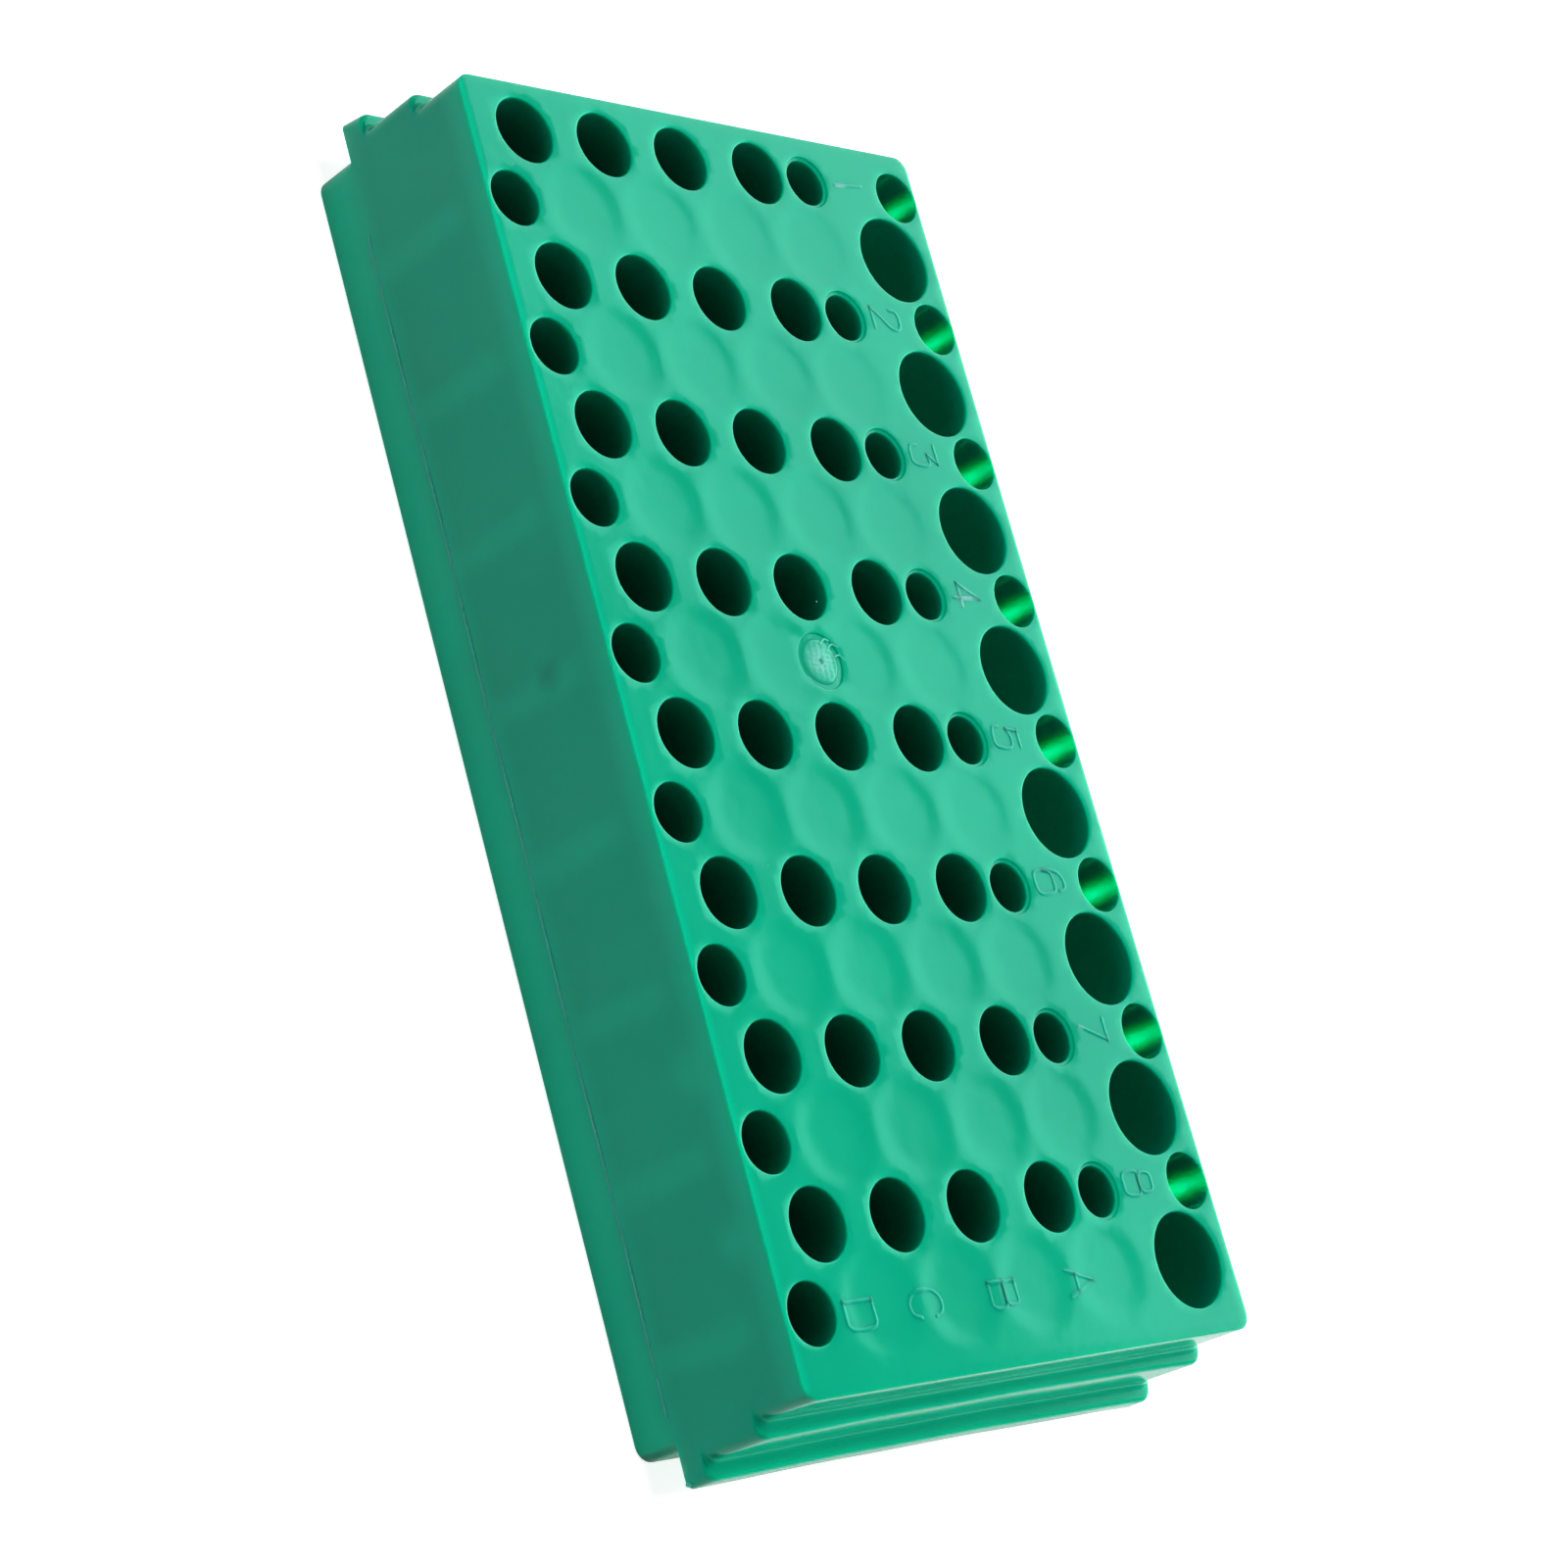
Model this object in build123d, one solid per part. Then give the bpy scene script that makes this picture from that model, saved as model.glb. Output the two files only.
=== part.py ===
from build123d import *
import os
from math import sqrt

# Reversible tube rack, one injection moulding in polypropylene. Millimetres.
# +X runs from row 1 to the lettered end, +Y towards the large wells, +Z up.
# The origin is the centre of the footprint, on the surface that the rack stands on.

# Bores
micro_bore = 11.2        # wells A to D, for 1.5 and 2 ml micro tubes
tube_bore = 15.6         # large wells on top and the sockets of the reverse side
small_bore = 9.4         # small wells along both long edges
slim_bore = 8.2          # small wells beside column A
slim_seat_bore = 9.4     # shallow seat round the mouth of a slim well
slim_seat_depth = 0.4

# Rows and columns
row_count = 8
column_count = 4
wide_column_gap = 0.9    # extra room in front of column A
index_gap = 12.7         # room for the row number, between a slim well and the edge well

# Walls and floors
socket_web = 1.2         # between neighbouring sockets of one file
bore_web = 1.66          # between a micro well and the sockets beside it
slim_web = 1.4           # between a micro well and the slim well's seat
edge_web = 1.8           # between an edge well and the nearest socket
left_wall = 1.1          # outer wall at the left-hand edge wells
right_wall = 0.6         # outer wall at the right-hand edge wells
large_wall = 2.8         # outer wall at the large wells
far_wall = 2.85          # end wall behind row 1
near_wall = 4.4          # end wall beyond the last sockets
well_floor = 2.0
top_plate = 2.2          # over the sockets and the core pockets
pocket_wall = 1.5        # left round each core pocket of the underside

# Outer block and its stepped ends
height = 36.0
parting_height = 8.3     # underside of the end steps
lower_tread_height = 12.9
upper_tread_height = 24.8
lower_step_reach = 5.8   # beyond the end face of the block
upper_step_reach = 2.8
corner_radius = 2.6      # upright corners
edge_rounding = 0.6      # top edges of the block and of the steps

# Gate mark in the middle of the top face
gate_recess_bore = 9.4
gate_recess_depth = 0.7
gate_pip_bore = 7.0
gate_pip_height = 0.45

# The grid follows from the bores and the webs between them
micro_radius = micro_bore / 2
tube_radius = tube_bore / 2
small_radius = small_bore / 2
slim_radius = slim_bore / 2
slim_seat_radius = slim_seat_bore / 2
column_pitch = tube_bore + socket_web
half_row = sqrt((micro_radius + tube_radius + bore_web) ** 2 - (column_pitch / 2) ** 2)
row_pitch = 2 * half_row

# Places across the rack, measured from column D
column_y = [index * column_pitch for index in range(column_count)]
column_y[-1] += wide_column_gap
socket_y = [(a + b) / 2 for a, b in zip(column_y, column_y[1:])]
socket_y.append(column_y[-1] + column_pitch / 2)
slim_y = column_y[-1] + micro_radius + slim_web + slim_seat_radius
right_small_y = slim_y + slim_seat_radius + index_gap + small_radius
right_face = right_small_y + small_radius + right_wall
large_y = right_face - large_wall - tube_radius
left_small_y = socket_y[0] - tube_radius - edge_web - small_radius
left_face = left_small_y - small_radius - left_wall

# Places along the rack, measured from row 1
row_x = [index * row_pitch for index in range(row_count)]
mid_x = [x + half_row for x in row_x]
far_face = -(micro_radius + far_wall)
near_face = mid_x[-1] + tube_radius + near_wall

length = near_face - far_face
width = right_face - left_face
to_centre = Pos(-(near_face + far_face) / 2, -(right_face + left_face) / 2)


def rounded_slab(slab_length, bottom, top):
    """A slab with upright corners rounded and its top edge softened."""
    slab = extrude(RectangleRounded(slab_length, width, corner_radius), top - bottom)
    return Pos(0, 0, bottom) * fillet(slab.edges().group_by(Axis.Z)[-1], edge_rounding)


def outer_block():
    """The block and the two steps at each end, which stop at the parting line."""
    block = rounded_slab(length, 0, height)
    upper_step = rounded_slab(length + 2 * upper_step_reach, parting_height, upper_tread_height)
    lower_step = rounded_slab(length + 2 * lower_step_reach, parting_height, lower_tread_height)
    return block + upper_step + lower_step


def bores(radius, xs, ys, bottom, top):
    """Upright cylinders of one radius at every crossing of the given places."""
    discs = Sketch() + [Pos(x, y) * Circle(radius) for x in xs for y in ys]
    return to_centre * Pos(0, 0, bottom) * extrude(discs, top - bottom)


def pockets(pocket_length, low, high):
    """A file of square core pockets on the rows, open at the underside, between two Y values."""
    pocket = Rectangle(pocket_length, high - low)
    outline = Sketch() + [Pos(x, (low + high) / 2) * pocket for x in row_x]
    return to_centre * extrude(outline, height - top_plate)


def core_pockets():
    """Pockets that keep the walls of the moulding even: between columns, at both edges."""
    beside_sockets = 2 * (half_row - tube_radius - pocket_wall)
    beside_edge_wells = 2 * (half_row - small_radius - pocket_wall)
    from_well = micro_radius + pocket_wall
    between = [
        pockets(beside_sockets, low + from_well, high - from_well)
        for low, high in zip(column_y, column_y[1:])
    ]
    edge = pockets(beside_edge_wells, left_face + pocket_wall, -from_well)
    index_low = slim_y + slim_seat_radius + pocket_wall
    index_high = right_small_y - small_radius - pocket_wall
    index = pockets(beside_sockets, index_low, index_high)
    return between + [edge, index]


def gate_mark():
    """A shallow recess over a web, with the sprue's pip standing in it."""
    place = to_centre * Pos(mid_x[row_count // 2 - 1], column_y[-2], height - gate_recess_depth)
    recess = place * extrude(Circle(gate_recess_bore / 2), gate_recess_depth)
    pip = place * extrude(Circle(gate_pip_bore / 2), gate_pip_height)
    return recess - pip


def rack_body():
    """The whole moulding."""
    cuts = [
        bores(micro_radius, row_x, column_y, well_floor, height),
        bores(slim_radius, row_x, [slim_y], well_floor, height),
        bores(slim_seat_radius, row_x, [slim_y], height - slim_seat_depth, height),
        bores(small_radius, row_x, [right_small_y], well_floor, height),
        bores(small_radius, mid_x, [left_small_y], well_floor, height),
        bores(tube_radius, mid_x, [large_y], well_floor, height),
        bores(tube_radius, mid_x, socket_y, 0, height - top_plate),
        gate_mark(),
    ]
    return outer_block() - cuts - core_pockets()


os.makedirs("parts", exist_ok=True)
rack = rack_body()
rack.label = "rack_body"
export_step(rack, "parts/rack_body.step")
print("length %.1f, width %.1f, height %.1f" % tuple(rack.bounding_box().size))
print("row pitch %.2f, column pitch %.2f" % (row_pitch, column_pitch))
print("columns", [round(y, 2) for y in column_y], "sockets", [round(y, 2) for y in socket_y])
print("slim", round(slim_y, 2), "right small", round(right_small_y, 2), "large", round(large_y, 2))
print("left small", round(left_small_y, 2), "faces", round(left_face, 2), round(right_face, 2),
      round(far_face, 2), round(near_face, 2))
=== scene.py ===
import bmesh
import bpy
import numpy as np
from mathutils import Matrix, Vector
from mathutils.geometry import delaunay_2d_cdt


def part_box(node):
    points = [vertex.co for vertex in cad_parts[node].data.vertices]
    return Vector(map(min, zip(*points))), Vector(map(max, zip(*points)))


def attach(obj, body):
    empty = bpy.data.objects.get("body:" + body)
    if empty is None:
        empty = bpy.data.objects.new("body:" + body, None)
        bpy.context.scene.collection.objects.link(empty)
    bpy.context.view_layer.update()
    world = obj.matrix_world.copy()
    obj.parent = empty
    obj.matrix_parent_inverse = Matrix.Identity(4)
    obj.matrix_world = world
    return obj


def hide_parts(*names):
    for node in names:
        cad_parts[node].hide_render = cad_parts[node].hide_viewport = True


# Green reversible tube rack: one glossy moulding on a white floor.
# All working sizes are in millimetres, and turn to metres when a mesh is made.
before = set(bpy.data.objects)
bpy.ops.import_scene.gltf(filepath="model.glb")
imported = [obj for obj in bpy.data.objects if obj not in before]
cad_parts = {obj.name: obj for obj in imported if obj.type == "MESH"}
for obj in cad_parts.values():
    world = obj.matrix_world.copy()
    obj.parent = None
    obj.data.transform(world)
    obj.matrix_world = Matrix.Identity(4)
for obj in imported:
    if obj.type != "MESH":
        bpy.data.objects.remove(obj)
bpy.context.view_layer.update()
lowCorner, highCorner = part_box("rack_body")
mm = 1000.0

# Sizes of the moulding, as in the part
rack = {
    "rows": 8,
    "microBore": 11.2,
    "tubeBore": 15.6,
    "smallBore": 9.4,
    "slimBore": 8.2,
    "seatBore": 9.4,
    "seatDepth": 0.4,
    "socketWeb": 1.2,
    "boreWeb": 1.66,
    "slimWeb": 1.4,
    "edgeWeb": 1.8,
    "wideColumnGap": 0.9,
    "indexGap": 12.7,
    "leftWall": 1.1,
    "rightWall": 0.6,
    "largeWall": 2.8,
    "farWall": 2.85,
    "nearWall": 4.4,
    "wellFloor": 2.0,
    "topPlate": 2.2,
    "pocketWall": 1.5,
    "partingHeight": 8.3,
    "lowerTread": 12.9,
    "upperTread": 24.8,
    "lowerReach": 5.8,
    "upperReach": 2.8,
    "cornerRadius": 2.6,
}

# What only the looks need
soft = {
    "markHeight": 0.1,       # the characters stand this proud, and end at the top of the box
    "skin": 0.12,            # room inside the box for waves and flash
    "topRound": 0.25,        # top edges
    "footRound": 0.35,       # bottom edges
    "treadRound": 0.8,       # outer edges of the steps
    "treadFillet": 1.3,      # inner corners of the steps
    "lip": 0.34,             # mouths of the wells
    "thinLip": 0.15,         # mouths beside the thin right-hand wall
    "wellDraft": 0.15,       # a well is this much narrower at its floor
    "floorFillet": 0.8,
    "underCut": 0.3,         # lower edges of the steps
    "neckLip": 0.3,          # where a slim well leaves its seat
}

# Points of the flat faces: how far apart they lie, and how clear they stay of an outline and of a hole
gridStep = {"top": (1.5, 1.5), "side": (2.0, 1.6), "underside": (4.0, 4.0)}
clearEdge = {"top": 1.2, "side": 0.7, "underside": 1.5}
clearHole = {"top": 0.55, "underside": 0.8}
sameHeight = 1e-4
facetShare = 0.9975          # the middle of a drawn circle's side is nearer its centre, by about this share

# The grid of wells, worked out as in the part, from row 1 and column D
microR = rack["microBore"] / 2
tubeR = rack["tubeBore"] / 2
smallR = rack["smallBore"] / 2
slimR = rack["slimBore"] / 2
seatR = rack["seatBore"] / 2
columnPitch = rack["tubeBore"] + rack["socketWeb"]
halfRow = np.sqrt((microR + tubeR + rack["boreWeb"]) ** 2 - (columnPitch / 2) ** 2)
columnY = columnPitch * np.arange(4) + np.array([0, 0, 0, rack["wideColumnGap"]])
socketY = np.append((columnY[1:] + columnY[:-1]) / 2, columnY[-1] + columnPitch / 2)
slimY = columnY[-1] + microR + rack["slimWeb"] + seatR
rightSmallY = slimY + seatR + rack["indexGap"] + smallR
rightFace = rightSmallY + smallR + rack["rightWall"]
largeY = rightFace - rack["largeWall"] - tubeR
leftSmallY = socketY[0] - tubeR - rack["edgeWeb"] - smallR
leftFace = leftSmallY - smallR - rack["leftWall"]
rowX = 2 * halfRow * np.arange(rack["rows"])
midX = rowX + halfRow
farFace = -(microR + rack["farWall"])
nearFace = midX[-1] + tubeR + rack["nearWall"]
centreX, centreY = (nearFace + farFace) / 2, (leftFace + rightFace) / 2

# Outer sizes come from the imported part
top = highCorner.z * mm - soft["markHeight"]
halfWidth = (highCorner.y - lowCorner.y) / 2 * mm - soft["skin"]
stepReach = (highCorner.x - lowCorner.x) / 2 * mm - soft["skin"]
blockReach = stepReach - rack["lowerReach"]
upperReach = blockReach + rack["upperReach"]
corner = rack["cornerRadius"]


def smooth(t):
    # 0 below 0, 1 above 1, and 3t^2 - 2t^3 between them
    t = np.clip(t, 0, 1)
    return t * t * (3 - 2 * t)


def places(xs, ys):
    # every crossing of the given places, moved to the part's own origin
    x, y = np.meshgrid(xs, np.atleast_1d(ys), indexing="ij")
    return np.stack([x.ravel() - centreX, y.ravel() - centreY], 1)


def gridFaces(rows, columns, closed):
    # two triangles for each cell of a grid of points; closed joins the last column to the first
    r, c = np.meshgrid(np.arange(rows - 1), np.arange(columns if closed else columns - 1), indexing="ij")
    onward = (c + 1) % columns
    a, b = r * columns + c, r * columns + onward
    d, e = a + columns, b + columns
    return np.concatenate([np.stack([a, b, e], -1).reshape(-1, 3), np.stack([a, e, d], -1).reshape(-1, 3)])


def circle(count):
    # count directions, evenly round a full turn
    turn = np.arange(count) * 2 * np.pi / count
    return np.stack([np.cos(turn), np.sin(turn)], 1)


def quarter(steps):
    # cosine and sine of angles from 0 to a right angle
    turn = np.linspace(0, np.pi / 2, steps + 1)
    return np.cos(turn), np.sin(turn)


def revolved(profile, centres, count):
    # each profile point (radius, height) is carried once round an upright axis at every centre
    ring = circle(count)
    radius, height = np.array(profile).T
    plan = centres[:, None, None, :] + radius[None, :, None, None] * ring
    heights = np.broadcast_to(height[None, :, None, None], plan.shape[:3] + (1,))
    points = np.concatenate([plan, heights], -1).reshape(len(centres), -1, 3)
    faces = gridFaces(len(radius), count, True)
    offsets = np.arange(len(centres))[:, None, None] * points.shape[1]
    return points.reshape(-1, 3), (faces[None] + offsets).reshape(-1, 3)


def wellProfile(radius, lip, level, floor, draft, fillet):
    # a quarter round lip, a wall that narrows by the draft, a quarter round fillet and a flat floor
    cos, sin = quarter(4)
    foot = radius - draft
    mouth = [(radius + lip * (1 - s), level - lip * (1 - c)) for c, s in zip(cos, sin)]
    cos, sin = quarter(3)
    base = [(foot - fillet * (1 - c), floor + fillet * (1 - s)) for c, s in zip(cos, sin)]
    wall = [(radius - draft * depth / level, level - depth) for depth in (1.5, 3, 5, 8, 12)]
    return mouth + wall + base + [(foot / 2, floor), (0, floor)]


def plate(loops, keep, spacing, inside):
    # closed outlines and a staggered grid of points in between, joined by a Delaunay triangulation
    edge = np.concatenate(loops)
    low, high = edge.min(0), edge.max(0)
    u, v = np.meshgrid(np.arange(low[0], high[0], spacing[0]), np.arange(low[1], high[1], spacing[1]))
    u = u + (np.arange(len(u)) % 2 * spacing[0] / 2)[:, None]
    grid = np.stack([u.ravel(), v.ravel()], 1)
    grid = grid[keep(grid)]
    starts = np.cumsum([0] + [len(loop) for loop in loops])
    links = [np.stack([np.arange(a, b), np.roll(np.arange(a, b), -1)], 1) for a, b in zip(starts, starts[1:])]
    points = np.concatenate([edge, grid])
    found = delaunay_2d_cdt(points.tolist(), np.concatenate(links).tolist(), [], 0, 1e-6)
    points, faces = np.array(found[0]), np.array(found[2])
    return points, faces[inside(points[faces].mean(1))]


def clearOf(points, centres, radius):
    # true where a point is further than the radius from every centre
    gap = np.hypot(*(points[:, None, :] - centres[None]).transpose(2, 0, 1))
    return gap.min(1) > radius


def endPath(reach, radius, inset):
    # round one end in plan: a quarter arc, the straight end and another quarter arc
    cos, sin = quarter(6)
    turn = halfWidth - inset - radius
    arc = np.stack([reach - radius + radius * sin, turn + radius * cos], 1)
    straight = np.linspace(turn, -turn, 69)[1:-1]
    end = np.stack([np.full(len(straight), reach), straight], 1)
    return np.concatenate([arc, end, arc[::-1] * [1, -1]])


sideX = np.linspace(corner - blockReach, blockReach - corner, 105)


def outline(inset):
    # the whole plan outline of the block, moved inwards by the inset
    end = endPath(blockReach - inset, corner - inset, inset)
    side = np.stack([sideX[1:-1], np.full(len(sideX) - 2, halfWidth - inset)], 1)
    half = np.concatenate([end, side[::-1] * [1, -1]])
    return np.concatenate([half, -half])


def loft(loops, heights):
    # closed plan outlines stacked at the given heights
    points = np.concatenate([np.c_[loop, np.full(len(loop), z)] for loop, z in zip(loops, heights)])
    return points, gridFaces(len(loops), len(loops[0]), True)


def softEdge(radius, level, direction):
    # a quarter round all along an edge of the block, from the flat face to the wall
    cos, sin = quarter(4)
    loops = [outline(radius * (1 - s)) for s in sin]
    return loft(loops, [level - direction * radius * (1 - c) for c in cos])


def endProfile():
    # the steps from top to bottom as (reach, height, corner radius, inset): fillet, tread, round, riser
    rounding, fillet, cut = soft["treadRound"], soft["treadFillet"], soft["underCut"]
    cos, sin = quarter(5)
    aboveSteps = np.linspace(top - soft["topRound"], rack["upperTread"] + 3, 4)
    rows = [(blockReach, z, corner, 0) for z in aboveSteps]
    inner = blockReach
    for outer, tread in ((upperReach, rack["upperTread"]), (stepReach, rack["lowerTread"])):
        rows += [(inner + fillet * (1 - c), tread + fillet * (1 - s), corner, 0) for c, s in zip(cos, sin)]
        for c, s in zip(cos, sin):
            back = rounding * (1 - s)
            rows.append((outer - back, tread - rounding * (1 - c), corner - back, back))
        inner = outer
    under = rack["partingHeight"]
    rows += [(stepReach, under + 4 * cut, corner - 3 * cut, 0), (stepReach, under + cut, corner - 4 * cut, 0)]
    rows += [(stepReach - cut, under, corner - 5 * cut, cut), (blockReach + 0.5, under, corner - cut, cut)]
    rows += [(blockReach, under - cut, corner, 0)]
    rows += [(blockReach, z, corner, 0) for z in np.linspace(under - 2, soft["footRound"], 3)]
    return np.array(rows)


def endSheet(profile, way):
    # the profile carried round one end; way is 1 for the lettered end and -1 for the far end
    paths = [endPath(reach, radius, inset) for reach, _, radius, inset in profile]
    points = np.concatenate([np.c_[path, np.full(len(path), z)] for path, z in zip(paths, profile[:, 1])])
    return points * [way, 1, 1], gridFaces(len(profile), len(paths[0]), False)


def sideInset(x, z):
    # how far the long side stands back: a quarter round along each tread beyond the block
    rounding, fillet = soft["treadRound"], soft["treadFillet"]
    back = np.zeros_like(x)
    for inner, tread in ((blockReach, rack["upperTread"]), (upperReach, rack["lowerTread"])):
        start = inner + fillet - corner
        share = np.clip((np.abs(x) - start) / rounding, 0, 1)
        rise = np.clip((z - tread) / rounding + 1, 0, 1)
        turned = share * rounding * (1 - np.sqrt(1 - rise**2))
        back = np.maximum(back, np.where(z < tread + sameHeight, turned, 0))
    onUnderside = np.abs(z - rack["partingHeight"]) < sameHeight
    beyond = np.abs(x) > blockReach - corner + 0.2
    return np.where(beyond & onUnderside, soft["underCut"], back)


def sideSheet(profile, way):
    # one long side: the stepped silhouette filled with points, set back along the treads
    reach = profile[:, 0] - profile[:, 2]
    height = profile[:, 1]
    right = np.stack([reach, height], 1)
    upper = np.stack([sideX, np.full(len(sideX), height[0])], 1)
    lower = np.stack([sideX[::-1], np.full(len(sideX), height[-1])], 1)
    loop = np.concatenate([upper, right[1:-1], lower, (right[1:-1] * [-1, 1])[::-1]])
    ledges = [rack["partingHeight"], rack["lowerTread"], rack["upperTread"], height[0], height[-1]]

    def solid(p):
        return np.abs(p[:, 0]) < np.interp(p[:, 1], height[::-1], reach[::-1])

    def keep(p):
        margin = clearEdge["side"]
        edge = np.interp(p[:, 1], height[::-1], reach[::-1])
        apart = np.abs(p[:, 1:] - np.array(ledges)).min(1)
        return (np.abs(p[:, 0]) < edge - margin) & (apart > margin)

    points, faces = plate([loop], keep, gridStep["side"], solid)
    y = halfWidth - sideInset(points[:, 0], points[:, 1])
    return np.stack([points[:, 0], way * y, points[:, 1]], 1), faces


def merged(sheets):
    # sheets that share their edge points become one closed shell with its faces outwards
    starts = np.cumsum([0] + [len(points) for points, _ in sheets])
    points = np.concatenate([points for points, _ in sheets]) / mm
    faces = np.concatenate([faces + start for (_, faces), start in zip(sheets, starts)])
    mesh = bpy.data.meshes.new("shell")
    mesh.from_pydata(points, [], faces)
    shell = bmesh.new()
    shell.from_mesh(mesh)
    bmesh.ops.remove_doubles(shell, verts=shell.verts, dist=2e-6)
    bmesh.ops.dissolve_degenerate(shell, dist=1e-7, edges=shell.edges)
    bmesh.ops.recalc_face_normals(shell, faces=shell.faces)
    openEdges = sum(1 for edge in shell.edges if not edge.is_manifold)
    shell.to_mesh(mesh)
    shell.free()
    print("shell:", len(mesh.vertices), "points,", len(mesh.polygons), "faces,", openEdges, "open edges")
    return mesh


def getPoints(mesh):
    # every point of a mesh, in millimetres
    flat = np.empty(len(mesh.vertices) * 3)
    mesh.vertices.foreach_get("co", flat)
    return flat.reshape(-1, 3) * mm


def setPoints(mesh, points):
    # the points, in millimetres, go back into their mesh
    mesh.vertices.foreach_set("co", (points / mm).ravel())
    mesh.update()


# Where everything opens on the top face
wells = {
    "micro": {"at": places(rowX, columnY), "radius": microR, "lip": soft["lip"], "count": 48},
    "slim": {"at": places(rowX, slimY), "radius": seatR, "lip": soft["thinLip"], "count": 48},
    "rightSmall": {"at": places(rowX, rightSmallY), "radius": smallR, "lip": soft["thinLip"], "count": 48},
    "leftSmall": {"at": places(midX, leftSmallY), "radius": smallR, "lip": soft["lip"], "count": 48},
    "large": {"at": places(midX, largeY), "radius": tubeR, "lip": soft["lip"], "count": 64},
}
gate = {
    "at": places(midX[3], columnY[2]),
    "recess": 4.7,           # radius, as of the pip and the pit
    "depth": 0.35,
    "pip": 3.7,
    "pipTop": 0.05,          # the pip ends this far below the face
    "pit": 0.55,
    "count": 64,
}
gateX, gateY = gate["at"][0]
sockets = {"at": places(midX, socketY), "radius": tubeR, "lip": soft["lip"], "count": 40}


def topSheets():
    # the pierced top face, with every well and the gate mark hung from its mouth
    mouths = [(w["at"], w["radius"] + w["lip"], w["count"]) for w in wells.values()]
    mouths.append((gate["at"], gate["recess"] + soft["lip"], gate["count"]))
    loops = [outline(soft["topRound"])]
    loops += [at + radius * circle(count) for ats, radius, count in mouths for at in ats]

    def keep(p):
        free = (np.abs(p) < np.array([blockReach, halfWidth]) - clearEdge["top"]).all(1)
        return free & np.all([clearOf(p, at, radius + clearHole["top"]) for at, radius, _ in mouths], axis=0)

    def solid(p):
        return np.all([clearOf(p, at, radius * facetShare) for at, radius, _ in mouths], axis=0)

    points, faces = plate(loops, keep, gridStep["top"], solid)
    sheets = [(np.c_[points, np.full(len(points), top)], faces)]
    floor, draft, fillet = rack["wellFloor"], soft["wellDraft"], soft["floorFillet"]
    for name, well in wells.items():
        profile = wellProfile(well["radius"], well["lip"], top, floor, draft, fillet)
        if name == "slim":
            seat = top - rack["seatDepth"]
            neck = wellProfile(slimR, soft["neckLip"], seat, floor, draft, fillet)
            slope = [(seatR - 0.1, seat + 0.1), (seatR - 0.22, seat + 0.02), (slimR + 0.32, seat)]
            profile = profile[:5] + slope + neck[1:]    # mouth, seat, then the narrower well
        sheets.append(revolved(profile, well["at"], well["count"]))
    return sheets + [revolved(gateProfile(), gate["at"], gate["count"])]


def gateProfile():
    # a shallow ring round a low pip, with a small pit where the sprue broke off
    ledge, crown = top - gate["depth"], top - gate["pipTop"]
    cos, sin = quarter(4)
    lip = soft["lip"]
    mouth = [(gate["recess"] + lip * (1 - s), top - lip * (1 - c)) for c, s in zip(cos, sin)]
    ring = [(gate["recess"] - 0.15, ledge), (gate["pip"] + 0.2, ledge - 0.04), (gate["pip"], ledge + 0.1)]
    crownRows = [(gate["pip"] - 0.2, crown - 0.03)]
    crownRows += [(r, crown) for r in np.linspace(gate["pip"] - 0.45, gate["pit"] + 0.35, 9)]
    pit = [(gate["pit"], crown - 0.1), (gate["pit"] * 0.7, crown - 0.5), (0, crown - 0.7)]
    return mouth + ring + crownRows + pit


def pocketLoops(length, low, high):
    # square core pockets on the rows between two Y values, as plan outlines with small corners
    halfX, halfY, turn = length / 2, (high - low) / 2, 0.3
    cos, sin = quarter(2)
    arc = np.stack([halfX - turn + turn * cos, halfY - turn + turn * sin], 1)
    turns = [arc, arc[::-1] * [-1, 1], arc * [-1, -1], arc[::-1] * [1, -1]]
    return [at + np.concatenate(turns) for at in places(rowX, (low + high) / 2)]


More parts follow.
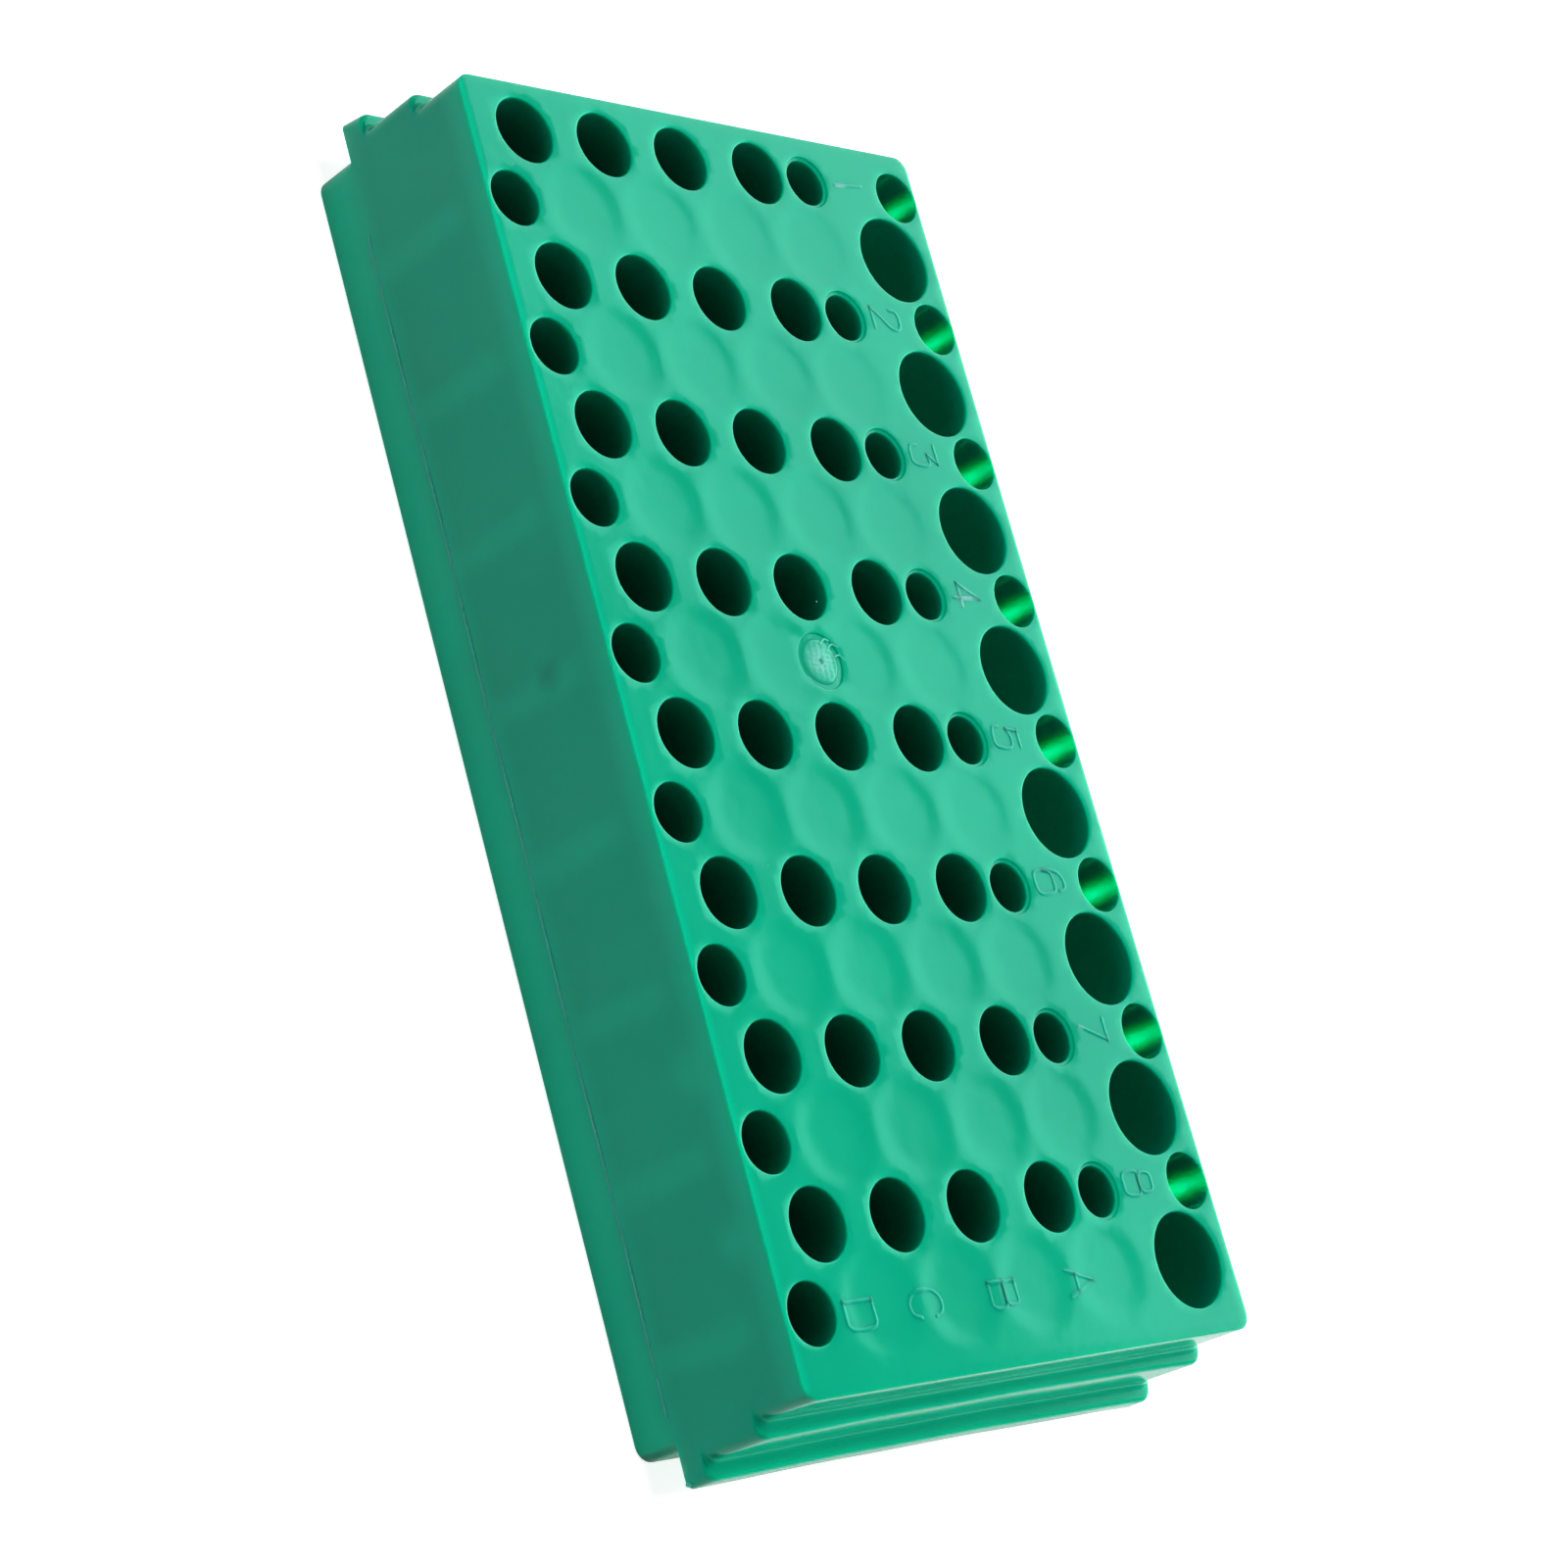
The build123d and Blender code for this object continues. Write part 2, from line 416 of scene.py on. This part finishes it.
def bottomSheets():
    # the underside: flat rim and webs, the sockets of the reverse side and the core pockets
    wall, ceiling = rack["pocketWall"], top - rack["topPlate"]
    besideSockets = 2 * (halfRow - tubeR - wall)
    besideEdgeWells = 2 * (halfRow - smallR - wall)
    fromWell = microR + wall
    spans = [(besideSockets, a + fromWell, b - fromWell) for a, b in zip(columnY, columnY[1:])]
    spans.append((besideEdgeWells, leftFace + wall, -fromWell))
    spans.append((besideSockets, slimY + seatR + wall, rightSmallY - smallR - wall))
    pocketEdges = [loop for span in spans for loop in pocketLoops(*span)]
    mouth = sockets["radius"] + sockets["lip"]
    loops = [outline(soft["footRound"])] + [at + mouth * circle(sockets["count"]) for at in sockets["at"]]
    boxes = np.array([[loop.min(0), loop.max(0)] for loop in pocketEdges])

    def outside(p, margin):
        beyond = (p[:, None] < boxes[None, :, 0] - margin) | (p[:, None] > boxes[None, :, 1] + margin)
        return beyond.any(2).all(1)

    def keep(p):
        free = (np.abs(p) < np.array([blockReach, halfWidth]) - clearEdge["underside"]).all(1)
        margin = clearHole["underside"]
        return free & clearOf(p, sockets["at"], mouth + margin) & outside(p, margin)

    def solid(p):
        return clearOf(p, sockets["at"], mouth - 0.03) & outside(p, -0.02)

    points, faces = plate(loops + pocketEdges, keep, gridStep["underside"], solid)
    sheets = [(np.c_[points, np.zeros(len(points))], faces)]
    cos, sin = quarter(3)
    profile = [(tubeR + sockets["lip"] * (1 - s), sockets["lip"] * (1 - c)) for c, s in zip(cos, sin)]
    profile += [(tubeR - 0.12, ceiling - 0.4), (tubeR - 0.5, ceiling), (tubeR / 2, ceiling), (0, ceiling)]
    sheets.append(revolved(profile, sockets["at"], sockets["count"]))
    for edge in pocketEdges:
        middle = edge.mean(0)
        ceilingRings = [middle + (edge - middle) * share for share in (0.97, 0.01)]
        sheets.append(loft([edge] + ceilingRings, [0, ceiling, ceiling]))
    return sheets


def closedPockets(mesh):
    # one flat face fills the pinhole that is left in the middle of each pocket's ceiling
    shell = bmesh.new()
    shell.from_mesh(mesh)
    rims = [edge for edge in shell.edges if edge.is_boundary]
    if rims:
        bmesh.ops.holes_fill(shell, edges=rims, sides=0)
        bmesh.ops.recalc_face_normals(shell, faces=shell.faces)
    shell.to_mesh(mesh)
    shell.free()


# Unevenness of the moulding
warp = {
    "dishDepth": 0.17,
    "dishRadius": 8.15,
    "bowIn": 0.35,           # the right-hand side is pinched at mid length
    "bulge": 0.16,           # the long walls swell and sink once a row
    "treadBow": 0.45,        # the steps stand back in the middle of the ends
    "treadWave": 0.07,       # and ripple a little,
    "waveLength": 5.2,       # as the sine of y over this
    "wallFade": 6.0,         # the wall's swelling dies out this far from its top and foot
    "pipRough": 0.05,        # the torn face of the gate's pip
}


def sinkMarks(x, y):
    # one shallow round dish over each socket: flat in the middle, with a soft step at its edge
    gap = np.hypot(x[:, None] - sockets["at"][:, 0], y[:, None] - sockets["at"][:, 1]).min(1)
    step = 1 - smooth((gap - 0.72 * warp["dishRadius"]) / (0.28 * warp["dishRadius"]))
    bowl = np.clip(1 - (gap / warp["dishRadius"]) ** 2, 0, 1)
    return warp["dishDepth"] * (0.55 * step + 0.45 * bowl)


def rowTurn(x):
    # one full turn a row along the rack, from 0 where the first left-hand edge well stands
    return 2 * np.pi * (x - (midX[0] - centreX)) / (2 * halfRow)


def uneven(points):
    # top face: down by the sink marks; long walls: in by half of 1 minus the cosine of the row turn, the
    # right one also by 1 minus the square of x; steps: back by 1 minus the square of y, and a sine
    x, y, z = points.T
    nearTop = smooth((z - (top - 1.5)) / 1.2)
    z = z - sinkMarks(x, y) * nearTop
    atLeft = smooth((-halfWidth + 0.45 - y) / 0.4)
    atRight = smooth((y - halfWidth + 0.45) / 0.4)
    tall = smooth(z / warp["wallFade"]) * smooth((top - z) / warp["wallFade"])
    sunk = tall * warp["bulge"] * (0.5 - 0.5 * np.cos(rowTurn(x)))
    y = y + atLeft * sunk - atRight * sunk
    along = np.clip(1 - (x / blockReach) ** 2, 0, 1)
    y = y - warp["bowIn"] * along * smooth(y / halfWidth)
    beyond = smooth((np.abs(x) - blockReach - 0.8) / 1.6)
    bow = warp["treadBow"] * np.clip(1 - (y / halfWidth) ** 2, 0, 1)
    wave = warp["treadWave"] * (0.5 + 0.5 * np.sin(y / warp["waveLength"]))
    x = x - np.sign(x) * beyond * (bow + wave)
    gap = np.hypot(x - gateX, y - gateY)
    onPip = smooth((gate["pip"] - 0.1 - gap) / 0.4) * nearTop
    torn = np.sin(4.1 * x + 2.3 * y) * np.sin(2.9 * y - 3.7 * x + 1.0) + 0.6 * np.sin(9.7 * x + 7.9 * y)
    z = z + onPip * warp["pipRough"] * torn
    return np.stack([x, y, z], 1)


# Painted light and shade as shares of the green: the left wall's painted sheen and light, its spots, and how
# far each kind of well darkens with painted shade
paintedShares = {
    # painted sheen: a lighter band on the left wall beside each edge well
    "sheenBand": 0.14,
    # painted light: the left wall lighter towards its foot and near its top
    "foot": 0.5,
    "browLight": 0.3,
    # painted sheen: lighter spots on the left wall
    "sheenSpot": 0.22,
    # a dark spot on the left wall, darker by this share
    "darkSpot": 0.35,
    # painted shade: how far each kind of well darkens with depth
    "depth": {"micro": 0.62, "slim": 0.55, "rightSmall": 0.0, "leftSmall": 0.62, "large": 0.05},
}
# Painted sheen spots on the left wall, and one dark spot there (x, y, z, reach)
sheenSpots = [(150 - centreX, -halfWidth, top - 6, 6.0), (175 - centreX, -halfWidth, top - 6, 5.0)]
darkSpots = [(86 - centreX, -halfWidth, top - 13.6, 3.0)]


def paintedLightShadeOf(points):
    # on the left wall 1 plus painted light at the foot and near the top and a painted sheen band beside each
    # edge well, each a smooth step; in a well down with depth as painted shade; then painted sheen spots up
    # and a dark spot down
    x, y, z = points.T
    atLeft = smooth((-halfWidth + 0.7 - y) / 0.3)
    # painted sheen: a lighter band beside each edge well
    besideWell = smooth((np.cos(rowTurn(x)) - 0.7) / 0.3)
    sheenBand = besideWell * smooth((z - 7) / 5) * smooth((top - 4 - z) / 5)
    # painted light: the left wall lighter towards its foot
    foot = 1 - smooth((z - 4) / 8)
    # painted light: the left wall lighter near its top
    browLight = smooth((z - top + 6) / 5)
    paintedLightShade = 1 + atLeft * (paintedShares["sheenBand"] * sheenBand + paintedShares["foot"] * foot + paintedShares["browLight"] * browLight)
    # painted shade: each well darker with depth
    for name, well in wells.items():
        within = ~clearOf(points[:, :2], well["at"], well["radius"] + 0.05)
        paintedLightShade = paintedLightShade * (1 - within * paintedShares["depth"][name] * smooth((top - z - 0.6) / 7))
    # painted sheen spots lighten the green, the dark spot darkens it
    return paintedLightShade + paintedShares["sheenSpot"] * nearness(points, sheenSpots) - paintedShares["darkSpot"] * nearness(points, darkSpots)


def floatAttribute(mesh, name, values):
    # one number for each point, which the material reads by name
    attribute = mesh.attributes.new(name, "FLOAT", "POINT")
    attribute.data.foreach_set("value", values.astype(np.float32))


def nearness(points, spots):
    # 1 at each spot (x, y, z, reach) and 0 beyond its reach
    spots = np.array(spots)
    gap = np.linalg.norm(points[:, None] - spots[None, :, :3], axis=2) / spots[:, 3]
    return smooth(1 - gap).max(1)


def madePiece(name, mesh, material, smoothAngle):
    # the mesh becomes a shaded object that rides on the rack
    piece = bpy.data.objects.new(name, mesh)
    bpy.context.scene.collection.objects.link(piece)
    mesh.materials.append(material)
    mesh.shade_smooth()
    mesh.set_sharp_from_angle(angle=smoothAngle)
    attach(piece, "root")
    return piece


# Finish
plastic = {
    "green": (0.001, 0.335, 0.19, 1),
    "pale": (0.16, 0.5, 0.42, 1),
    "roughness": 0.13,
    "specular": 0.5,
    "tint": (0.15, 1.0, 1.0, 1),
    "translucency": 0.6,
    "lightPath": (0.05, 1.0, 0.7),
    "pathLength": 0.0022,
    "driftScale": 22,            # slow change of the green
    "drift": (0.93, 1.07),
    "grainScale": 1400,          # breaks up the scuffs
    "scuffGain": 1.7,
    "scuffRoughness": 0.6,
    "peelScale": 260,            # orange peel
    "peelStrength": 0.12,
    "peelDepth": 0.0002,
}


def noise(tree, place, scale, detail):
    # fractal noise on Object coordinates
    node = tree.nodes.new("ShaderNodeTexNoise")
    node.inputs["Scale"].default_value = scale
    node.inputs["Detail"].default_value = detail
    tree.links.new(place.outputs["Object"], node.inputs["Vector"])
    return node.outputs["Fac"]


def stored(tree, name):
    # a point attribute of the mesh
    node = tree.nodes.new("ShaderNodeAttribute")
    node.attribute_name = name
    return node.outputs["Fac"]


def product(tree, first, second):
    # two sockets multiplied
    node = tree.nodes.new("ShaderNodeMath")
    node.operation = "MULTIPLY"
    tree.links.new(first, node.inputs[0])
    tree.links.new(second, node.inputs[1])
    return node.outputs["Value"]


def mapped(tree, value, source, target):
    # the value moves in a straight line from the source range to the target range
    node = tree.nodes.new("ShaderNodeMapRange")
    for name, level in zip(("From Min", "From Max", "To Min", "To Max"), source + target):
        node.inputs[name].default_value = level
    tree.links.new(value, node.inputs["Value"])
    return node.outputs["Result"]


def greenPlastic():
    # even glossy green times the painted light and shade attribute and a slow drift; faint orange peel, pale
    # where scuff says
    material = bpy.data.materials.new("greenPlastic")
    material.use_nodes = True
    tree = material.node_tree
    new, link = tree.nodes.new, tree.links.new
    shader = tree.nodes["Principled BSDF"]
    place = new("ShaderNodeTexCoord")

    drift = mapped(tree, noise(tree, place, plastic["driftScale"], 3), (0.3, 0.7), plastic["drift"])
    colour = new("ShaderNodeHueSaturation")
    colour.inputs["Color"].default_value = plastic["green"]
    # the green is multiplied by the painted light and shade attribute
    link(product(tree, drift, stored(tree, "paintedLightShade")), colour.inputs["Value"])

    scuff = new("ShaderNodeMath")
    scuff.operation = "MULTIPLY"
    scuff.use_clamp = True
    scuff.inputs[1].default_value = plastic["scuffGain"]
    grain = noise(tree, place, plastic["grainScale"], 4)
    link(product(tree, stored(tree, "scuff"), grain), scuff.inputs[0])
    blend = new("ShaderNodeMix")
    blend.data_type = "RGBA"
    blend.inputs["B"].default_value = plastic["pale"]
    link(scuff.outputs["Value"], blend.inputs["Factor"])
    link(colour.outputs["Color"], blend.inputs["A"])
    link(blend.outputs["Result"], shader.inputs["Base Color"])
    sheen = (plastic["roughness"], plastic["scuffRoughness"])
    link(mapped(tree, scuff.outputs["Value"], (0, 1), sheen), shader.inputs["Roughness"])

    bump = new("ShaderNodeBump")
    bump.inputs["Strength"].default_value = plastic["peelStrength"]
    bump.inputs["Distance"].default_value = plastic["peelDepth"]
    link(noise(tree, place, plastic["peelScale"], 2), bump.inputs["Height"])
    link(bump.outputs["Normal"], shader.inputs["Normal"])

    shader.inputs["Specular IOR Level"].default_value = plastic["specular"]
    shader.inputs["Specular Tint"].default_value = plastic["tint"]
    shader.inputs["Subsurface Weight"].default_value = plastic["translucency"]
    shader.inputs["Subsurface Radius"].default_value = plastic["lightPath"]
    shader.inputs["Subsurface Scale"].default_value = plastic["pathLength"]
    return material


green = greenPlastic()

# The moulding
steps = endProfile()
sheets = topSheets() + bottomSheets()
sheets += [softEdge(soft["topRound"], top, 1), softEdge(soft["footRound"], 0, -1)]
sheets += [endSheet(steps, 1), endSheet(steps, -1), sideSheet(steps, 1), sideSheet(steps, -1)]
moulding = merged(sheets)
closedPockets(moulding)
setPoints(moulding, uneven(getPoints(moulding)))
gateSpot = [(gateX, gateY, top, gate["pip"] + 0.8)]
floatAttribute(moulding, "scuff", nearness(getPoints(moulding), gateSpot))
# painted light and shade of the moulding go into the green as a point attribute
floatAttribute(moulding, "paintedLightShade", paintedLightShadeOf(getPoints(moulding)))
body = madePiece("rack_moulding", moulding, green, np.radians(38))
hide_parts("rack_body")
print("moulding done:", len(moulding.polygons), "faces")

# Row numbers and column letters, as strokes: curved ones have their corners rounded off
marks = {
    "width": 1.0,
    "stretch": (0.84, 0.92),     # of the control points below, across and upwards
    "numberX": -0.6,             # from the middle of the row
    "numberY": 72.7,
    "letterX": 188.5,
    "letterY": (52.7, 34.7, 17.5, 3.5),
    "nudge": 0.007,              # each ridge of a character stands this far from the last one's place
    "worn": [(rowX[0] - 0.35, 71, 2.2), (rowX[3] + 0.8, 72.6, 3.4), (rowX[6] - 0.9, 69.6, 1.1)],
}
glyphs = {
    "1": [("straight", [(0.3, -3.1), (-0.4, 3.9)])],
    "2": [("curved", [(-2.2, 1.7), (-2.0, 3.5), (0, 3.9), (2.2, 3.4), (2.2, 1.1), (-0.4, -1.1),
                      (-2.2, -3.3)]),
          ("straight", [(-2.25, -3.35), (2.1, -3.35)])],
    "3": [("straight", [(-2.1, 2.9), (1.6, 2.9), (-0.1, 0.6)]),
          ("curved", [(-0.1, 0.6), (2.1, 0.9), (2.4, -1.2), (2.0, -3.8), (0, -3.9), (-2.0, -3.6),
                      (-2.2, -1.8)])],
    "4": [("straight", [(0.8, -3.4), (0.8, 3.4), (-2.3, -1.7), (2.3, -1.7)])],
    "5": [("straight", [(2.0, 2.9), (-1.3, 2.9), (-1.6, 0.1)]),
          ("curved", [(-1.6, 0.1), (0, 1.0), (2.3, 0.7), (2.4, -1.5), (2.0, -3.8), (0, -3.9), (-2.0, -3.6),
                      (-2.2, -2.1)])],
    "6": [("curved", [(1.9, 2.2), (1.3, 3.8), (-0.8, 3.7), (-2.3, 2.2), (-2.5, -1.0), (-2.2, -3.8), (0, -4.0),
                      (2.4, -3.6), (2.4, -1.0), (2.0, 1.0), (0, 1.1), (-2.0, 0.9), (-2.4, -1.2)])],
    "7": [("straight", [(-2.2, 3.2), (1.9, 3.2), (-1.0, -3.4)])],
    "8": [("curved", [(0, 0.25), (1.7, 0.5), (2.0, 1.8), (1.6, 3.6), (0, 3.7), (-1.6, 3.6), (-2.0, 1.8),
                      (-1.7, 0.5), (0, 0.25)]),
          ("curved", [(0, 0.25), (2.2, 0.4), (2.4, -1.5), (2.0, -3.8), (0, -3.8), (-2.0, -3.8), (-2.4, -1.5),
                      (-2.2, 0.4), (0, 0.25)])],
    "A": [("straight", [(-2.4, -3.3), (0, 3.3), (2.4, -3.3)]), ("straight", [(-1.6, -1.1), (1.6, -1.1)])],
    "B": [("straight", [(-2.1, 3.2), (-2.1, -3.2)]),
          ("curved", [(-2.1, 3.2), (0.2, 3.2), (2.2, 3.3), (2.2, 0.1), (0.2, 0.2), (-2.1, 0.2)]),
          ("curved", [(-2.1, 0.2), (0.2, 0.2), (2.7, 0.3), (2.7, -3.3), (0.2, -3.2), (-2.1, -3.2)])],
    "C": [("curved", [(2.2, 1.9), (1.5, 3.6), (-0.8, 3.8), (-2.6, 2.0), (-2.6, -2.0), (-0.8, -3.8),
                      (1.5, -3.6), (2.2, -1.9)])],
    "D": [("straight", [(-2.2, -3.3), (-2.2, 3.3)]),
          ("curved", [(-2.2, 3.3), (-0.2, 3.3), (2.4, 3.4), (2.9, 0), (2.4, -3.4), (-0.2, -3.3),
                      (-2.2, -3.3)])],
}


def rounded(points, times):
    # each corner is cut at a quarter and three quarters of its two runs, again and again; the ends stay
    points = np.array(points, float)
    for _ in range(times):
        a, b = points[:-1], points[1:]
        cut = np.stack([0.75 * a + 0.25 * b, 0.25 * a + 0.75 * b], 1).reshape(-1, 2)
        points = np.concatenate([points[:1], cut, points[-1:]])
    return points


def ridge(path, width, height, baseOf):
    # a raised cosine carried along a plan path over the base there, drawn in to a round end at both ends
    run = np.diff(path, axis=0)
    run = run / np.linalg.norm(run, axis=1)[:, None]
    joint = np.concatenate([run[:1], run[:-1] + run[1:], run[-1:]])
    joint = joint / np.linalg.norm(joint, axis=1)[:, None]
    cos, sin = quarter(4)
    inset = width / 2 * sin[::-1]
    head = path[0] - joint[0] * inset[:, None]
    tail = path[-1] + joint[-1] * inset[::-1][:, None]
    line = np.concatenate([head, path[1:-1], tail])
    ways = np.concatenate([np.repeat(joint[:1], 5, 0), joint[1:-1], np.repeat(joint[-1:], 5, 0)])
    share = np.concatenate([cos[::-1], np.ones(len(path) - 2), cos])
    across = np.stack([-ways[:, 1], ways[:, 0]], 1)
    span = np.linspace(-1, 1, 9)
    plan = line[:, None] + across[:, None] * (span * width / 2)[None, :, None] * share[:, None, None]
    base = baseOf(line)[:, None]
    rise = base + height * (0.5 + 0.5 * np.cos(np.pi * span))[None] * share[:, None] - 0.01
    under = np.concatenate([plan[:, :1], plan, plan[:, -1:]], 1)
    rise = np.concatenate([base - 0.15, rise, base - 0.15], 1)
    points = np.concatenate([under, rise[..., None]], -1)
    return points.reshape(-1, 3), gridFaces(len(line), points.shape[1], True)


def faceLevel(plan):
    # height of the dished top face at plan points
    return top - sinkMarks(plan[:, 0], plan[:, 1])


def straightPath(points):
    # corners stay, with a point every half millimetre or so along each run
    points = np.array(points, float)
    pieces = [a + (b - a) * np.linspace(0, 1, 12)[:-1, None] for a, b in zip(points, points[1:])]
    return np.concatenate(pieces + [points[-1:]])


def glyphStrokes(text, at):
    # one ridge for each run of a stroke, nudged a little so that runs don't weld to each other
    ridges = []
    for kind, points in glyphs[text]:
        runs = [rounded(points, 3)] if kind == "curved" else [
            straightPath([a, b]) for a, b in zip(points, points[1:])]
        for path in runs:
            place = path * marks["stretch"] + at + marks["nudge"] * len(ridges)
            ridges.append(ridge(place, marks["width"], soft["markHeight"], faceLevel))
    return ridges


# Flash of the mould: strings at the gate's rim, a line along the parting plane on the left wall, a small
# lump at the lower step and specks on the top face. Strings and specks are (x, y) from row 1 and column D
flash = {
    "width": 0.3,
    "height": 0.09,
    "seam": (-90, 99),           # from where to where the parting line shows
    "seamWave": 0.12,
    "strings": [[(85.2, 35.9), (84.4, 37.0), (84.9, 38.3)], [(86.6, 37.0), (86.2, 38.2), (87.0, 39.0)],
                [(84.6, 34.2), (83.6, 35.6), (84.0, 36.4)]],
    "lump": (108.95, -50.52, rack["partingHeight"] + 0.5),
    "specks": [(6.6, -4.6), (77.4, 36.2), (160.5, 44.2), (121.0, 9.4), (36.5, 26.0), (104.5, 66.5)],
}


def wallRidge(path, width, height):
    # a ridge drawn in (x, z) that stands out of the left wall
    points, faces = ridge(path, width, height, lambda line: np.full(len(line), halfWidth))
    return points[:, [0, 2, 1]] * [1, -1, 1], faces


def flashSheets():
    # strings and the parting line are ridges, the line a slow sine; lump and specks are small profiles
    # carried once round an upright axis
    plan = [np.array(run) - [centreX, centreY] for run in flash["strings"]]
    sheets = [ridge(rounded(run, 3), flash["width"], flash["height"], faceLevel) for run in plan]
    along = np.linspace(*flash["seam"], 160)
    seam = np.stack([along, rack["partingHeight"] + flash["seamWave"] * np.sin(along / 9)], 1)
    sheets.append(wallRidge(seam, flash["width"], flash["height"]))
    x, y, z = flash["lump"]
    drop = [(0, z - 0.6), (0.3, z - 0.45), (0.45, z), (0.3, z + 0.45), (0, z + 0.6)]
    sheets.append(revolved(drop, np.array([[x, y]]), 16))
    specks = np.array(flash["specks"]) - [centreX, centreY]
    for speck, level in zip(specks, faceLevel(specks)):
        grain = [(0, level - 0.1), (0.14, level - 0.05), (0.12, level + 0.03), (0, level + 0.07)]
        sheets.append(revolved(grain, speck[None], 10))
    return sheets


flashMesh = merged(flashSheets())
floatAttribute(flashMesh, "scuff", np.full(len(flashMesh.vertices), 0.6))
floatAttribute(flashMesh, "paintedLightShade", np.full(len(flashMesh.vertices), 1.1))
madePiece("flash", flashMesh, green, np.radians(50))
print("flash done:", len(flashMesh.polygons), "faces")

strokes = []
for index in range(rack["rows"]):
    strokes += glyphStrokes(str(index + 1), places(rowX[index] + marks["numberX"], marks["numberY"])[0])
for letter, y in zip("ABCD", marks["letterY"]):
    strokes += glyphStrokes(letter, places(marks["letterX"], y)[0])
markMesh = merged(strokes)
wornSpots = [(x - centreX, y - centreY, top, reach) for x, y, reach in marks["worn"]]
floatAttribute(markMesh, "scuff", nearness(getPoints(markMesh), wornSpots))
floatAttribute(markMesh, "paintedLightShade", np.ones(len(markMesh.vertices)))
madePiece("index_marks", markMesh, green, np.radians(50))
print("characters done:", len(markMesh.polygons), "faces")

# Floor: white to the camera, with the rack's own shadow
ground = {"size": 6.0, "colour": 0.5, "glow": 0.8, "mirrored": 0.2}


def floorMaterial():
    # part of the white is reflected light, which takes the shadow, and part is the backdrop's own glow
    material = bpy.data.materials.new("whiteFloor")
    material.use_nodes = True
    tree = material.node_tree
    new, link = tree.nodes.new, tree.links.new
    shader = tree.nodes["Principled BSDF"]
    shader.inputs["Base Color"].default_value = (ground["colour"],) * 3 + (1,)
    shader.inputs["Roughness"].default_value = 1
    shader.inputs["Specular IOR Level"].default_value = 0
    seen = new("ShaderNodeLightPath")
    glow = new("ShaderNodeMath")
    glow.operation = "MULTIPLY"
    glow.inputs[1].default_value = ground["glow"]
    link(seen.outputs["Is Camera Ray"], glow.inputs[0])
    mirrored = new("ShaderNodeMath")
    mirrored.operation = "MULTIPLY_ADD"
    mirrored.inputs[1].default_value = ground["mirrored"]
    link(seen.outputs["Is Glossy Ray"], mirrored.inputs[0])
    link(glow.outputs["Value"], mirrored.inputs[2])
    shader.inputs["Emission Color"].default_value = (1, 1, 1, 1)
    link(mirrored.outputs["Value"], shader.inputs["Emission Strength"])
    return material


half = ground["size"] / 2
floorMesh = bpy.data.meshes.new("floor")
corners = [(-half, -half, 0), (half, -half, 0), (half, half, 0), (-half, half, 0)]
floorMesh.from_pydata(corners, [], [(0, 1, 2, 3)])
floorMesh.materials.append(floorMaterial())
floor = bpy.data.objects.new("floor", floorMesh)
bpy.context.scene.collection.objects.link(floor)

# Light: a broad card that the top face mirrors, a key overhead, a low strip behind the thin
# right-hand wall and a low fill on the camera's side
lamps = {
    "card": {"at": (-0.467, 1.284, 0.6), "size": (2.0, 1.0), "power": 10, "mirrored": True},
    "key": {"at": (-0.05, 0.1, 1.6), "size": (0.8, 0.8), "power": 30, "mirrored": False},
    "strip": {"at": (0.1, 1.2, 0.055), "size": (1.6, 0.08), "power": 85, "mirrored": False},
    "fill": {"at": (-0.5, -1.45, 0.25), "size": (1.6, 0.4), "power": 4.8, "mirrored": False},
}
worldLevel = 0.09

for name, lamp in lamps.items():
    # every lamp is a rectangle that faces the middle of the rack's footprint
    data = bpy.data.lights.new(name, "AREA")
    data.shape = "RECTANGLE"
    data.size, data.size_y = lamp["size"]
    data.energy = lamp["power"]
    holder = bpy.data.objects.new(name, data)
    holder.visible_glossy = lamp["mirrored"]
    bpy.context.scene.collection.objects.link(holder)
    spot = Matrix.Translation(lamp["at"])
    aim = (-spot.translation).to_track_quat("-Z", "Y").to_matrix().to_4x4()
    holder.matrix_world = spot @ aim

world = bpy.data.worlds.new("studio")
bpy.context.scene.world = world
world.use_nodes = True
world.node_tree.nodes["Background"].inputs["Color"].default_value = (1, 1, 1, 1)
world.node_tree.nodes["Background"].inputs["Strength"].default_value = worldLevel

# Camera at the photograph's place, rolled as the photograph is
view = {
    "at": (0.150676, -0.410620, 0.384554),
    "right": (0.25589882, 0.69417672, 0.67278115),
    "down": (0.93221197, 0.00704433, -0.36184419),
    "forward": (-0.25592311, 0.71977014, -0.64531722),
    "lens": 82.72,
    "sensor": 36.0,
}
cameraData = bpy.data.cameras.new("camera")
cameraData.sensor_width = view["sensor"]
cameraData.lens = view["lens"]
cameraData.clip_start = 0.01
camera = bpy.data.objects.new("camera", cameraData)
bpy.context.scene.collection.objects.link(camera)
axes = np.array([view["right"], np.negative(view["down"]), np.negative(view["forward"])]).T
camera.matrix_world = Matrix(np.vstack([np.c_[axes, view["at"]], [0, 0, 0, 1]]).tolist())
bpy.context.scene.camera = camera
bpy.context.scene.view_settings.view_transform = "Standard"
